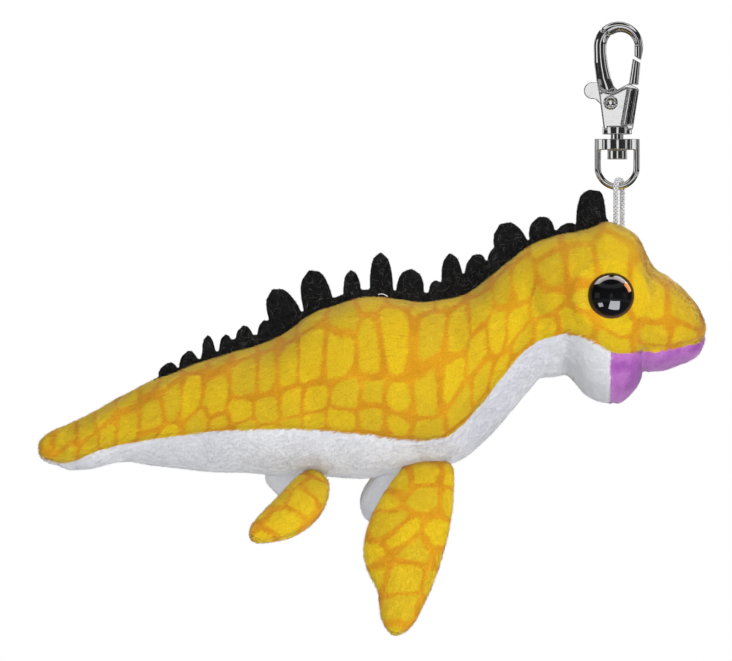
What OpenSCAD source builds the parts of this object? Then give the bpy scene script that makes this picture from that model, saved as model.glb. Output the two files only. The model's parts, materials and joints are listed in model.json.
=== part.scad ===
// Plush keychain: a stuffed marine-reptile toy with a felt crest and four flippers, hung by
// a braided cord loop from a swivelling spring-gate clasp. Millimetres, +Z up, +X to the head.

/* [Plush body] */
// Thickness of the short-pile fabric skins
skin_t = 1; // [0.7:0.1:1.1]
// Fullness of the body from side to side
fullness = 1; // [0.92:0.02:1.08]
// Thickness of the felt crest
crest_t = 2; // [1:0.25:3]
// Height of the crest's base strip above the back seam
crest_base = 1.3; // [0.8:0.1:2]

/* [Eyes] */
// Diameter of an eye dome
eye_d = 10; // [8:0.5:11]
// Height of an eye dome
eye_h = 3.6; // [2.5:0.1:4.5]

/* [Flippers] */
// Outward lean of the left front flipper
left_front_splay = 20; // [10:1:40]
// Outward lean of the right front flipper, which is posed higher
right_front_splay = 64; // [30:1:75]
// Outward lean of the left rear flipper
left_rear_splay = 35; // [20:1:45]
// Outward lean of the right rear flipper, which is posed higher
right_rear_splay = 70; // [35:1:76]
// Fullness of the flippers
flipper_fullness = 1; // [0.9:0.05:1.2]

/* [Cord] */
// Diameter of the braided cord
cord_d = 1.2; // [0.8:0.1:1.3]

/* [Clasp] */
// Thickness of the hook's arch and leg
hook_t = 3.8; // [3.2:0.1:4.2]
// Thickness of the hook's slotted body
body_t = 4.6; // [4.4:0.1:5.4]
// Thickness of the gate lever in its slot
lever_t = 1.8; // [1.4:0.1:1.9]
// Wire diameter of the swivel ring
ring_wire_d = 1.36; // [1.1:0.02:1.5]
// Radial clearance of the moving pins
run_gap = 0.05; // [0.02:0.01:0.09]

/* [Hidden] */

yellow = [0.87, 0.69, 0.10];
white = [0.82, 0.82, 0.85];
purple = [0.62, 0.34, 0.70];
felt = [0.08, 0.08, 0.08];
chrome = [0.80, 0.80, 0.82];
fill = [0.93, 0.93, 0.90];
$fn = 48;

// Body sections from the tail's tip to the snout:
// [x, back seam height, side seam height, underside height, half width]
SECTIONS = [
    [-69.7, 40.5, 37.7, 37.4, 1.6],
    [-69.1, 41.3, 36.9, 36.6, 2.7],
    [-67.2, 42.7, 36.0, 35.6, 3.9],
    [-64.0, 44.2, 35.6, 34.7, 4.9],
    [-60.0, 46.1, 37.3, 34.6, 5.9],
    [-53.0, 49.8, 39.6, 35.6, 7.4],
    [-45.0, 53.8, 41.1, 35.4, 9.1],
    [-36.0, 57.2, 42.4, 34.6, 10.9],
    [-26.0, 60.4, 43.1, 33.9, 12.8],
    [-18.5, 63.5, 43.1, 33.5, 14.0],
    [-12.6, 67.3, 42.9, 33.5, 14.9],
    [-7.5, 69.5, 42.4, 33.2, 15.5],
    [-1.0, 71.1, 41.8, 32.9, 15.9],
    [5.0, 70.8, 40.6, 34.1, 15.8],
    [11.0, 70.2, 40.1, 35.2, 15.4],
    [16.0, 70.8, 41.3, 35.9, 14.7],
    [20.0, 71.9, 44.3, 37.9, 13.9],
    [24.0, 74.7, 49.3, 41.5, 13.1],
    [28.0, 77.9, 54.5, 45.9, 12.6],
    [31.5, 80.5, 59.0, 50.1, 12.6],
    [35.0, 82.4, 61.6, 52.9, 13.3],
    [38.5, 83.6, 62.5, 54.2, 14.3],
    [41.0, 84.2, 62.8, 54.9, 15.0],
    [42.8, 84.6, 62.7, 53.1, 15.5],
    [44.4, 85.0, 62.5, 50.8, 15.9],
    [46.5, 85.5, 61.7, 49.0, 16.3],
    [48.8, 86.5, 60.0, 48.4, 16.5],
    [50.7, 86.3, 58.9, 48.1, 16.5],
    [52.7, 85.4, 58.8, 48.6, 16.3],
    [54.7, 84.3, 58.8, 50.4, 16.0],
    [56.0, 82.8, 59.0, 52.3, 15.6],
    [57.0, 80.7, 59.2, 54.9, 15.2],
    [58.8, 77.5, 59.4, 55.3, 14.5],
    [61.3, 75.8, 59.7, 55.5, 13.1],
    [64.3, 73.4, 60.5, 56.9, 11.4],
    [66.4, 71.2, 61.0, 57.9, 9.6],
    [68.0, 69.1, 61.4, 58.9, 7.6],
    [69.0, 67.1, 61.9, 60.3, 5.3],
    [69.5, 65.6, 62.4, 61.5, 3.4],
    [69.7, 64.7, 62.8, 62.2, 1.6]];
// Which of these sections end the white belly panel, the white jaw panel and the jaw lining
belly_end = 22;
jaw_end = 27;
lining_end = 31;
per_span = 2;
widest_share = 0.47;
skin_steps = 7;
belly_steps = 4;

// Crest spikes from the tail to the head: [base start, base end, tip x, tip height]
SPIKES = [
    [-44.8, -41.0, -43.2, 56.9], [-40.4, -36.5, -39.0, 59.4], [-35.8, -32.6, -34.7, 62.9],
    [-32.2, -28.9, -31.0, 63.0], [-28.7, -24.4, -27.3, 64.8], [-24.2, -20.9, -23.0, 65.9],
    [-20.4, -14.2, -21.2, 72.4], [-14.0, -8.0, -13.2, 76.4], [-5.9, -2.3, -4.5, 76.4],
    [-0.4, 4.5, 1.8, 80.2], [5.0, 10.8, 8.3, 76.7], [11.8, 14.7, 13.4, 74.3],
    [14.9, 19.5, 16.3, 80.0], [19.8, 24.6, 21.2, 79.6], [24.4, 27.0, 25.2, 80.8],
    [27.2, 33.1, 26.9, 86.1], [33.3, 38.6, 35.0, 87.6], [38.9, 42.8, 41.0, 86.3],
    [43.0, 49.2, 45.7, 93.6]];
crest_start = -46;
crest_end = 49.6;
crest_sewn = 0.9;
spike_foot = 0.2;

// Flipper sections from the root to the tip: [distance, rear edge, front edge, half thickness]
FRONT = [
    [0, -6.1, 6.0, 1.2], [2.3, -7.8, 6.1, 2.0], [6, -10.3, 6.0, 2.7], [10, -12.2, 5.7, 3.0],
    [14, -13.7, 5.0, 3.1], [18, -14.2, 4.0, 3.1], [21.5, -13.6, 3.0, 3.0],
    [24.5, -12.2, 2.0, 2.8], [27.5, -10.6, 0.8, 2.6], [31, -10.6, -0.8, 2.4],
    [34.3, -10.1, -2.4, 2.1], [36.4, -9.1, -3.9, 1.7], [37.4, -8.0, -5.6, 1.3]];
REAR = [
    [0, -3.6, 4.3, 1.2], [1.8, -4.1, 5.2, 2.0], [5.6, -4.0, 6.7, 2.6], [10, -3.9, 6.7, 2.7],
    [14, -4.0, 5.3, 2.5], [17.6, -3.9, 3.3, 2.1], [19.7, -3.2, 1.5, 1.7],
    [20.7, -2.3, 0.4, 1.3]];
flipper_steps = 7;
flipper_skin = 0.8;
root_y = 6;
front_x = 11.7;
front_z = 34.6;
front_back_x = 4.4;
front_forward_sweep = -12;
rear_x = -11.8;
rear_z = 32.3;
rear_back_x = 7.7;
rear_right_z = 33.3;
rear_sweep = 38;
rear_right_sweep = -18;

// Eyes sit on the widest part of the head
eye_x = 50;
eye_z = 71;
eye_y = 15.1;
eye_up = 12;
eye_rim = 0.7;
eye_post_r = 1.3;
eye_post_len = 8;
washer_r = 4.2;
washer_t = 1.4;
washer_depth = 4.6;

// Cord: two legs out of the head seam and a bight over the ring's wire
cord_x = 51.9;
seam_z = 85.9;
cord_foot_z = 87.3;
knot_z = 79;
knot_r = 2.3;
leg_x = 0.7;
leg_y = 0.65;
cord_sides = 8;
bight_steps = 6;

// Swivel ring
swivel_x = 51.5;
wire_z = 93.9;
ring_half = 4.07;
bar_low = 101.65;
bar_high = 103.95;
bar_depth = 3.0;
boss_r = 3.3;
post_r = 1.4;
post_top = 107.9;
post_head_r = 2.1;
post_head_z = 99.65;
face_gap = 0.05;

// Hook
collar_r = 3.1;
collar_low = 104.9;
collar_high = 106.5;
arch_z = 123.4;
arch_outer_x = 51.77;
arch_outer_r = 5.2;
arch_inner_x = 52.19;
arch_inner_r = 2.96;
rivet_x = 50.1;
rivet_z = 111.55;
rivet_r = 0.8;
rivet_head_r = 1.55;
rivet_head_t = 0.25;
slot_half = 1;
slot_low = 109.4;
slot_high = 117.6;
hub_r = 1.9;
gate_t = 3;
coil_in = 0.95;
coil_out = 1.35;
coil_len = 0.8;
recess_r = 1.5;
recess_t = 0.9;

// The toy is drawn over its lowest point and placed with its origin in the hook's eye
module hung() {
    translate([-arch_inner_x, 0, -arch_z]) children();
}

// A point on a smooth curve through b and c
function spline(a, b, c, d, t) =
    0.5 * (2 * b + (c - a) * t + (2 * a - 5 * b + 4 * c - d) * t * t
           + (3 * b - a - 3 * c + d) * t * t * t);
function refined(rows, n) =
    let (last = len(rows) - 1)
    [for (i = [0:last - 1], k = [0:n - 1])
        spline(rows[max(i - 1, 0)], rows[i], rows[i + 1], rows[min(i + 2, last)], k / n),
     rows[last]];
STATIONS = refined(SECTIONS, per_span);
last_station = len(STATIONS) - 1;
BACK = [for (s = STATIONS) [s[0], s[1]]];
function back_z(x) = lookup(x, BACK);

// The body's ring at a station runs from the back seam down the left side (angle 0 to 180)
// and up the right side (180 to 360)
function widest_z(s) = s[3] + widest_share * (s[1] - s[3]);
function seam_angle(s) =
    let (m = widest_z(s))
    s[2] < m ? 180 - acos((m - s[2]) / (m - s[3])) : acos((s[2] - m) / (s[1] - m));
body_mid = (STATIONS[0][0] + STATIONS[last_station][0]) / 2;
body_len = STATIONS[last_station][0] - STATIONS[0][0];
function body_point(i, angle, inset) =
    let (s = STATIONS[i], m = widest_z(s), reach = cos(angle) > 0 ? s[1] - m : m - s[3])
    [body_mid + (s[0] - body_mid) * (1 - 2 * inset / body_len),
     -(s[4] * fullness - inset) * sin(angle),
     m + (reach - inset) * cos(angle)];
function left_angles(i) = [for (k = [0:skin_steps]) seam_angle(STATIONS[i]) * k / skin_steps];
function belly_angles(i) =
    let (a = seam_angle(STATIONS[i]), n = 2 * belly_steps)
    [for (k = [0:n]) a + (360 - 2 * a) * k / n];
function right_angles(i) =
    let (a = seam_angle(STATIONS[i]))
    [for (k = [0:skin_steps]) 360 - a + a * k / skin_steps];
function all_angles(i) =
    concat(left_angles(i), [for (k = [1:2 * belly_steps]) belly_angles(i)[k]],
           [for (k = [1:skin_steps - 1]) right_angles(i)[k]]);

// Faces of a sheet with an outer and an inner layer of n rows of m points each
function two(a, b, c, d) = [[a, b, c], [a, c, d]];
function turned(faces, flip) =
    flip ? [for (f = faces) [for (k = [len(f) - 1:-1:0]) f[k]]] : faces;
function panel_faces(n, m) =
    let (in = n * m)
    [for (i = [0:n - 2], j = [0:m - 2], f = two(i * m + j, (i + 1) * m + j,
                                                (i + 1) * m + j + 1, i * m + j + 1)) f,
     for (i = [0:n - 2], j = [0:m - 2], f = two(in + i * m + j, in + i * m + j + 1,
                                                in + (i + 1) * m + j + 1,
                                                in + (i + 1) * m + j)) f,
     for (i = [0:n - 2], f = two(i * m, in + i * m, in + (i + 1) * m, (i + 1) * m)) f,
     for (i = [0:n - 2], f = two(i * m + m - 1, (i + 1) * m + m - 1,
                                 in + (i + 1) * m + m - 1, in + i * m + m - 1)) f,
     for (j = [0:m - 2], f = two(j, j + 1, in + j + 1, in + j)) f,
     for (j = [0:m - 2], f = two((n - 1) * m + j, in + (n - 1) * m + j,
                                 in + (n - 1) * m + j + 1, (n - 1) * m + j + 1)) f];
// Faces of a closed tube of n rings of m points with flat ends
function tube_faces(n, m) =
    [for (i = [0:n - 2], j = [0:m - 1], f = two(i * m + j, (i + 1) * m + j,
                                                (i + 1) * m + (j + 1) % m,
                                                i * m + (j + 1) % m)) f,
     [for (j = [0:m - 1]) j],
     [for (j = [m - 1:-1:0]) (n - 1) * m + j]];

module body_panel(first, last, angles) {
    n = last - first + 1;
    m = len(angles[0]);
    points = [for (inset = [0, skin_t], i = [0:n - 1], a = angles[i])
              body_point(first + i, a, inset)];
    polyhedron(points, panel_faces(n, m), convexity = 8);
}

module skin_left() {
    color(yellow) hung()
        body_panel(0, last_station, [for (i = [0:last_station]) left_angles(i)]);
}

module skin_right() {
    color(yellow) hung()
        body_panel(0, last_station, [for (i = [0:last_station]) right_angles(i)]);
}

module lower_panel(first, last) {
    body_panel(first, last, [for (i = [first:last]) belly_angles(i)]);
}

module belly_skin() {
    color(white) hung() lower_panel(0, belly_end * per_span);
}

module jaw_skin() {
    color(white) hung() lower_panel(belly_end * per_span, jaw_end * per_span);
}

module jaw_lining() {
    color(purple) hung() lower_panel(jaw_end * per_span, lining_end * per_span);
}

module palate_lining() {
    color(purple) hung() lower_panel(lining_end * per_span, last_station);
}

module body_stuffing() {
    points = [for (i = [0:last_station], a = all_angles(i)) body_point(i, a, skin_t)];
    color(fill) hung()
        polyhedron(points, tube_faces(last_station + 1, len(all_angles(0))), convexity = 8);
}

// Thumb-shaped spike outline from a base that follows the seam to its rounded tip
function spike_outline(s) =
    let (n = 7, rear = [s[0], back_z(s[0]) + spike_foot], front = [s[1], back_z(s[1]) + spike_foot],
         foot = (rear + front) / 2, half = (front - rear) / 2, tip = [s[2], s[3]],
         side = [for (k = [0:n]) let (f = k / n)
                     [foot + (tip - foot) * f, half * pow(1 - pow(f, 3), 0.5)]])
    concat([for (k = [0:n]) side[k][0] - side[k][1]],
           [for (k = [n - 1:-1:0]) side[k][0] + side[k][1]]);

// A flat outline in X and Z, made t thick about the middle plane
module plate(t) {
    rotate([90, 0, 0]) linear_extrude(t, center = true) children();
}

module spine_crest() {
    n = 48;
    xs = [for (k = [0:n]) crest_start + (crest_end - crest_start) * k / n];
    strip = concat([for (x = xs) [x, back_z(x) - crest_sewn]],
                   [for (k = [n:-1:0]) [xs[k], back_z(xs[k])
                                        + crest_base * min(1, 4 * k / n, 4 * (n - k) / n + 0.4)]]);
    color(felt) hung()
        union() {
            plate(crest_t) polygon(strip);
            for (s = SPIKES) plate(crest_t) polygon(spike_outline(s));
        }
}

// Local frame of an eye: +Z out of the head
module at_eye(side) {
    translate([eye_x, side * eye_y, eye_z]) rotate([side * (eye_up - 90), 0, 0]) children();
}

module eye() {
    r = eye_d / 2;
    ball = (r * r + eye_h * eye_h) / (2 * eye_h);
    union() {
        intersection() {
            translate([0, 0, eye_h - ball]) sphere(ball);
            cylinder(h = 2 * r, r = r);
        }
        translate([0, 0, -eye_rim]) cylinder(h = eye_rim, r = r);
        translate([0, 0, -eye_post_len]) cylinder(h = eye_post_len, r = eye_post_r);
    }
}

module eye_left() {
    color(felt) hung() at_eye(-1) eye();
}

module eye_right() {
    color(felt) hung() at_eye(1) eye();
}

module washer() {
    translate([0, 0, -washer_depth])
        difference() {
            cylinder(h = washer_t, r = washer_r, center = true);
            cylinder(h = 2 * washer_t, r = eye_post_r, center = true);
        }
}

module eye_washer_left() {
    color(fill) hung() at_eye(-1) washer();
}

module eye_washer_right() {
    color(fill) hung() at_eye(1) washer();
}

module cord_knot() {
    color(white) hung()
        translate([cord_x, 0, knot_z])
            union() {
                sphere(knot_r);
                for (s = [-1, 1])
                    translate([s * leg_x, s * leg_y, 0])
                        cylinder(h = seam_z - knot_z, r = cord_d / 2);
            }
}

// Cord route: up the left leg, over the wire and down the right leg
bight_r = (ring_wire_d + cord_d) / 2 + 0.25;
leg_top = wire_z - 1.6;
route = concat(
    [[cord_x - leg_x, -leg_y, cord_foot_z], [cord_x - leg_x, -leg_y - 0.15, leg_top - 2],
     [cord_x - leg_x, -bight_r + 0.1, leg_top]],
    [for (k = [0:bight_steps]) let (a = 180 * k / bight_steps)
        [cord_x - leg_x * cos(a), -bight_r * cos(a), wire_z + bight_r * sin(a)]],
    [[cord_x + leg_x, bight_r - 0.1, leg_top], [cord_x + leg_x, leg_y + 0.15, leg_top - 2],
     [cord_x + leg_x, leg_y, cord_foot_z]]);
function unit(v) = v / norm(v);
function way(p, i) = unit(p[min(i + 1, len(p) - 1)] - p[max(i - 1, 0)]);

module cord_loop() {
    // The bight lies in a plane near YZ, so X gives every ring its first side
    rings = [for (i = [0:len(route) - 1])
        let (t = way(route, i), v = unit(cross(t, [1, 0, 0])), u = cross(v, t))
        for (k = [0:cord_sides - 1])
            route[i] + cord_d / 2 * (u * cos(360 * k / cord_sides)
                                     + v * sin(360 * k / cord_sides))];
    color(white) hung() polyhedron(rings, tube_faces(len(route), cord_sides), convexity = 6);
}

// A flipper's ring runs from the front edge round the outer face (0 to 180) to the rear
// edge, and back over the inner face
function flipper_local(rows, i, angle, inset) =
    let (s = rows[i], len_all = rows[len(rows) - 1][0], half = (s[2] - s[1]) / 2)
    [(s[1] + s[2]) / 2 + (half - inset) * cos(angle),
     -(s[3] * flipper_fullness - inset) * sin(angle),
     -(inset + s[0] * (1 - 2 * inset / len_all))];
function placed(p, root, splay, sweep, side) =
    let (x = p[0] * cos(sweep) + p[2] * sin(sweep),
         z = p[2] * cos(sweep) - p[0] * sin(sweep),
         y = p[1] * cos(splay) + z * sin(splay))
    [root[0] + x, -side * (y - root_y), root[1] + z * cos(splay) - p[1] * sin(splay)];

module flipper_panel(rows, from, root, splay, sweep, side) {
    n = len(rows);
    m = flipper_steps + 1;
    points = [for (inset = [0, flipper_skin], i = [0:n - 1], k = [0:m - 1])
              placed(flipper_local(rows, i, from + 180 * k / flipper_steps, inset),
                     root, splay, sweep, side)];
    polyhedron(points, turned(panel_faces(n, m), side > 0), convexity = 4);
}

module flipper_core(rows, root, splay, sweep, side) {
    n = len(rows);
    m = 2 * flipper_steps;
    points = [for (i = [0:n - 1], k = [0:m - 1])
              placed(flipper_local(rows, i, 360 * k / m, flipper_skin),
                     root, splay, sweep, side)];
    polyhedron(points, turned(tube_faces(n, m), side > 0), convexity = 4);
}

// piece: 0 outer panel, 1 inner panel, 2 core
module flipper(rows, piece, root, splay, sweep, side) {
    if (piece == 2) flipper_core(rows, root, splay, sweep, side);
    else flipper_panel(rows, 180 * piece, root, splay, sweep, side);
}

module front_left(piece) {
    flipper(FRONT, piece, [front_x, front_z], left_front_splay, 0, -1);
}

module front_right(piece) {
    flipper(FRONT, piece, [front_x - front_back_x, front_z], right_front_splay,
            front_forward_sweep, 1);
}

module rear_left(piece) {
    flipper(REAR, piece, [rear_x, rear_z], left_rear_splay, rear_sweep, -1);
}

module rear_right(piece) {
    flipper(REAR, piece, [rear_x - rear_back_x, rear_right_z], right_rear_splay,
            rear_right_sweep, 1);
}

module front_left_outer() { color(yellow) hung() front_left(0); }
module front_left_inner() { color(white) hung() front_left(1); }
module front_left_core() { color(fill) hung() front_left(2); }
module front_right_outer() { color(yellow) hung() front_right(0); }
module front_right_inner() { color(white) hung() front_right(1); }
module front_right_core() { color(fill) hung() front_right(2); }
module rear_left_outer() { color(yellow) hung() rear_left(0); }
module rear_left_inner() { color(white) hung() rear_left(1); }
module rear_left_core() { color(fill) hung() rear_left(2); }
module rear_right_outer() { color(yellow) hung() rear_right(0); }
module rear_right_inner() { color(white) hung() rear_right(1); }
module rear_right_core() { color(fill) hung() rear_right(2); }

// A cylinder along Y at a point in X and Z
module cross_pin(x, z, r, len, y = 0) {
    translate([x, y, z]) rotate([90, 0, 0]) cylinder(h = len, r = r, center = true);
}

module hook_outline() {
    difference() {
        translate([arch_outer_x, arch_z]) circle(arch_outer_r);
        translate([arch_inner_x, arch_z]) circle(arch_inner_r);
        translate([arch_outer_x - 10, arch_z - 20]) square([20, 20]);
    }
    // the tip that the gate closes against
    polygon([[55.15, arch_z], [56.97, arch_z], [56.9, 122.4], [56.5, 120.5], [55.15, 121.35]]);
    // the leg
    polygon([[46.57, arch_z], [49.23, arch_z], [49.22, 122], [49.6, 119.2], [50.2, 116.6],
             [50.8, 115], [51.6, 114.3], [51, 108], [48.5, 108], [47.7, 113.3], [47.1, 116.5],
             [46.65, 120]]);
}

module hook_body() {
    color(chrome) hung()
        difference() {
            union() {
                plate(hook_t) hook_outline();
                plate(body_t)
                    polygon([[47.7, 113.4], [50.9, 114.6], [51.6, 114.3], [53.1, 114.9],
                             [56.1, 114.4], [54.8, collar_high - 0.5],
                             [48.7, collar_high - 0.5]]);
                translate([swivel_x, 0, collar_low])
                    cylinder(h = collar_high - collar_low, r = collar_r);
            }
            translate([43, -slot_half, slot_low]) cube([15, 2 * slot_half,
                                                        slot_high - slot_low]);
            cross_pin(rivet_x, rivet_z, rivet_r, 2 * body_t);
            translate([swivel_x, 0, collar_low - 1])
                cylinder(h = post_top - collar_low + 1, r = post_r);
        }
}

module gate_lever() {
    color(chrome) hung()
        difference() {
            union() {
                cross_pin(rivet_x, rivet_z, hub_r, lever_t);
                plate(lever_t) {
                    // arm to the gate
                    polygon([[49.6, 113.3], [53.9, 115.6], [55.9, 114.6], [56, 113.3],
                             [51.2, 110.1]]);
                    // thumb tab
                    polygon([[46.3, 115.85], [48.6, 115.85], [50.6, 113.3], [49.2, 110.1],
                             [46.9, 112.3], [46.3, 112.35]]);
                    translate([46.25, 114.1]) circle(1.75);
                }
                plate(gate_t)
                    polygon([[53.95, 115.5], [54.75, 120.85], [56.4, 119.85], [56, 115.3]]);
            }
            cross_pin(rivet_x, rivet_z, rivet_r + run_gap, 2 * lever_t);
            cross_pin(rivet_x, rivet_z, recess_r, recess_t, lever_t / 2 - recess_t / 2 + 0.01);
        }
}

module gate_rivet() {
    color(chrome) hung()
        union() {
            cross_pin(rivet_x, rivet_z, rivet_r, body_t);
            for (s = [-1, 1])
                cross_pin(rivet_x, rivet_z, rivet_head_r, rivet_head_t,
                          s * (body_t + rivet_head_t) / 2);
        }
}

module gate_spring() {
    color(chrome) hung()
        difference() {
            cross_pin(rivet_x, rivet_z, coil_out, coil_len, lever_t / 2 - coil_len / 2 - 0.02);
            cross_pin(rivet_x, rivet_z, coil_in, 2 * lever_t);
        }
}

module swivel_post() {
    color(chrome) hung()
        union() {
            translate([swivel_x, 0, post_head_z])
                cylinder(h = bar_low - face_gap - post_head_z, r = post_head_r);
            translate([swivel_x, 0, post_head_z])
                cylinder(h = post_top - post_head_z, r = post_r);
        }
}

module swivel_ring() {
    wire_r = ring_wire_d / 2;
    bend_z = wire_z + ring_half;
    color(chrome) hung()
        difference() {
            union() {
                translate([swivel_x, 0, bend_z])
                    rotate([-90, 0, 0])
                        rotate_extrude(angle = 180, $fn = 96)
                            translate([ring_half, 0]) circle(wire_r);
                for (s = [-1, 1])
                    translate([swivel_x + s * ring_half, 0, bend_z])
                        cylinder(h = bar_high - bend_z, r = wire_r);
                translate([swivel_x - ring_half, -bar_depth / 2, bar_low])
                    cube([2 * ring_half, bar_depth, bar_high - bar_low]);
                translate([swivel_x, 0, bar_low]) cylinder(h = bar_high - bar_low, r = boss_r);
            }
            translate([swivel_x, 0, bar_low - 1])
                cylinder(h = bar_high - bar_low + 2, r = post_r + run_gap);
        }
}

skin_left();
skin_right();
belly_skin();
jaw_skin();
palate_lining();
jaw_lining();
body_stuffing();
spine_crest();
eye_left();
eye_right();
eye_washer_left();
eye_washer_right();
cord_knot();
cord_loop();
front_left_outer();
front_left_inner();
front_left_core();
front_right_outer();
front_right_inner();
front_right_core();
rear_left_outer();
rear_left_inner();
rear_left_core();
rear_right_outer();
rear_right_inner();
rear_right_core();
hook_body();
gate_lever();
gate_rivet();
gate_spring();
swivel_post();
swivel_ring();
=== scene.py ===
"""The plush keychain's looks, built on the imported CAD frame: sewn plush body and flippers with real pile,
felt crest, domed eyes, braided cord loop and a die-cast swivel clasp. Metres, +Z up, +X to the head."""

import json
import math

import bmesh
import bpy
import numpy as np
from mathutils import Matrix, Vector, noise
from mathutils.bvhtree import BVHTree
from mathutils.kdtree import KDTree

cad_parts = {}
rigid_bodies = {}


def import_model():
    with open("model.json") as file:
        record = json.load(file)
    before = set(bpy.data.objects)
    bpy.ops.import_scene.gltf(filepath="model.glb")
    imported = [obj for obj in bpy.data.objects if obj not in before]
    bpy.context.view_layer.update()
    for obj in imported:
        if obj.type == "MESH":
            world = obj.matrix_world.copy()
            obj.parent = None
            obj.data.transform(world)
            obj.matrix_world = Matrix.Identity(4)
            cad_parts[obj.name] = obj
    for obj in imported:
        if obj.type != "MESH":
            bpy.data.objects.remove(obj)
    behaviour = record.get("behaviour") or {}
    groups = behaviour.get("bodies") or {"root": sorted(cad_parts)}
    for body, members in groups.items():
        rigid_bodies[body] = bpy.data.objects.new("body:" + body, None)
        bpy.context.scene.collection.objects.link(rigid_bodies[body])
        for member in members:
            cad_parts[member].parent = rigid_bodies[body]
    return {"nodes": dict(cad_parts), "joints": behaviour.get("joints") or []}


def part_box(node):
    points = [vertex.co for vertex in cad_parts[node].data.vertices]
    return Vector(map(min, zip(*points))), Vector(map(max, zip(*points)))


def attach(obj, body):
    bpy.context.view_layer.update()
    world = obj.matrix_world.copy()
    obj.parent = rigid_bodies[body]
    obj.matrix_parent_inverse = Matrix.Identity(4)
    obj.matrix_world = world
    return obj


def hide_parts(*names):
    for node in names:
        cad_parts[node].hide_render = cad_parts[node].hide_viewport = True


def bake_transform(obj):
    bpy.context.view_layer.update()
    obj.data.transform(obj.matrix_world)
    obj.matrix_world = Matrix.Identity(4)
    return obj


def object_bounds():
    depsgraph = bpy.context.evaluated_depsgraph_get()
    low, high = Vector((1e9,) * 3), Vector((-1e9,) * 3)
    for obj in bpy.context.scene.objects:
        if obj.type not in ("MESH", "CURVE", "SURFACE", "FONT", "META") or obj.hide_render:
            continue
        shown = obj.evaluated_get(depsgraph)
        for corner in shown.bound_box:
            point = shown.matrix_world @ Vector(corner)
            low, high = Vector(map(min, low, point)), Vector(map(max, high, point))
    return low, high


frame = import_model()
cad_low, cad_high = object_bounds()
toy_middle = (cad_low + cad_high) / 2
MM = 0.001


# ---- camera
def new_object(name, data):
    obj = bpy.data.objects.new(name, data)
    bpy.context.scene.collection.objects.link(obj)
    return obj


def make_camera():
    """A long lens square to the toy's left side, level with its middle."""
    data = bpy.data.cameras.new("camera")
    data.lens = 1000
    data.clip_end = 100
    camera = new_object("camera", data)
    view_width = 1.103 * (cad_high.x - cad_low.x)
    distance = view_width * data.lens / data.sensor_width
    camera.location = (toy_middle.x - 1.26 * MM, -distance, toy_middle.z - 0.1 * MM)
    camera.rotation_euler = (math.radians(90), 0, 0)
    bpy.context.scene.camera = camera


make_camera()


# ---- mesh helpers
def smooth_object(name, mesh):
    mesh.polygons.foreach_set("use_smooth", [True] * len(mesh.polygons))
    return new_object(name, mesh)


def mesh_object(name, points, faces):
    mesh = bpy.data.meshes.new(name)
    mesh.from_pydata([tuple(p) for p in points], [], [tuple(f) for f in faces])
    return smooth_object(name, mesh)


def applied(obj):
    """Turns an object's modifiers into its mesh."""
    bpy.context.view_layer.update()
    shape = bpy.data.meshes.new_from_object(obj.evaluated_get(bpy.context.evaluated_depsgraph_get()))
    obj.modifiers.clear()
    obj.data = shape
    return obj


def subdivided(obj, levels):
    modifier = obj.modifiers.new("subdivision", "SUBSURF")
    modifier.levels = modifier.render_levels = levels
    return applied(obj)


def softened(obj, rounds):
    modifier = obj.modifiers.new("soften", "SMOOTH")
    modifier.factor, modifier.iterations = 0.5, rounds
    return applied(obj)


def points_of(mesh, field="co"):
    flat = np.empty(len(mesh.vertices) * 3)
    mesh.vertices.foreach_get(field, flat)
    return flat.reshape(-1, 3)


def normals_of(mesh):
    return points_of(mesh, "normal")


def set_points(mesh, points):
    mesh.vertices.foreach_set("co", np.asarray(points, np.float32).ravel())
    mesh.update()


def put_attribute(mesh, name, values):
    """Stores a number or a vector for each vertex, for the materials."""
    kind = "FLOAT" if np.ndim(values) == 1 else "FLOAT_VECTOR"
    layer = mesh.attributes.new(name, kind, "POINT")
    field = "value" if kind == "FLOAT" else "vector"
    layer.data.foreach_set(field, np.asarray(values, np.float32).ravel())


def attribute_of(mesh, name):
    """An attribute's values, a row for each vertex."""
    layer = mesh.attributes[name]
    wide, field = (1, "value") if layer.data_type == "FLOAT" else (3, "vector")
    flat = np.empty(len(mesh.vertices) * wide)
    layer.data.foreach_get(field, flat)
    return flat.reshape(-1, wide)


def panels_of(mesh):
    """The number of the panel that each face belongs to."""
    panel = np.empty(len(mesh.polygons), int)
    mesh.polygons.foreach_get("material_index", panel)
    return panel


def noise_at(points, size, seed):
    """Smooth noise from -1 to 1 at each point, with lumps of about this size."""
    return np.array([noise.noise(Vector(p) / size + Vector((seed, 2 * seed, -seed))) for p in points])


def distances(points, targets):
    """Each point's distance to the nearest target point."""
    tree = KDTree(len(targets))
    for i, target in enumerate(targets):
        tree.insert(target, i)
    tree.balance()
    return np.array([tree.find(p)[2] for p in points])


def smooth_step(low, high, value):
    t = np.clip((value - low) / (high - low), 0, 1)
    return t * t * (3 - 2 * t)


def falloff(distance, width, power=2):
    """1 at no distance, and next to nothing beyond twice the width."""
    return np.exp(-(distance / width) ** power)


def unit(vectors):
    return vectors / np.maximum(np.linalg.norm(vectors, axis=1)[:, None], 1e-9)


def joint_place(name):
    return Vector(next(j for j in frame["joints"] if j["name"] == name)["pos_m"])


def welded(node):
    """A CAD node's mesh with its split corners joined."""
    mesh = bmesh.new()
    mesh.from_mesh(frame["nodes"][node].data)
    bmesh.ops.remove_doubles(mesh, verts=mesh.verts, dist=1e-6)
    return mesh


def finish_piece(obj, body, slot, material, *nodes):
    """A piece's body, material and the CAD nodes that it stands for. The slot is not used."""
    obj.data.materials.clear()
    obj.data.materials.append(material)
    if nodes:
        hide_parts(*nodes)
    if body:
        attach(obj, body)
    return obj


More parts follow.
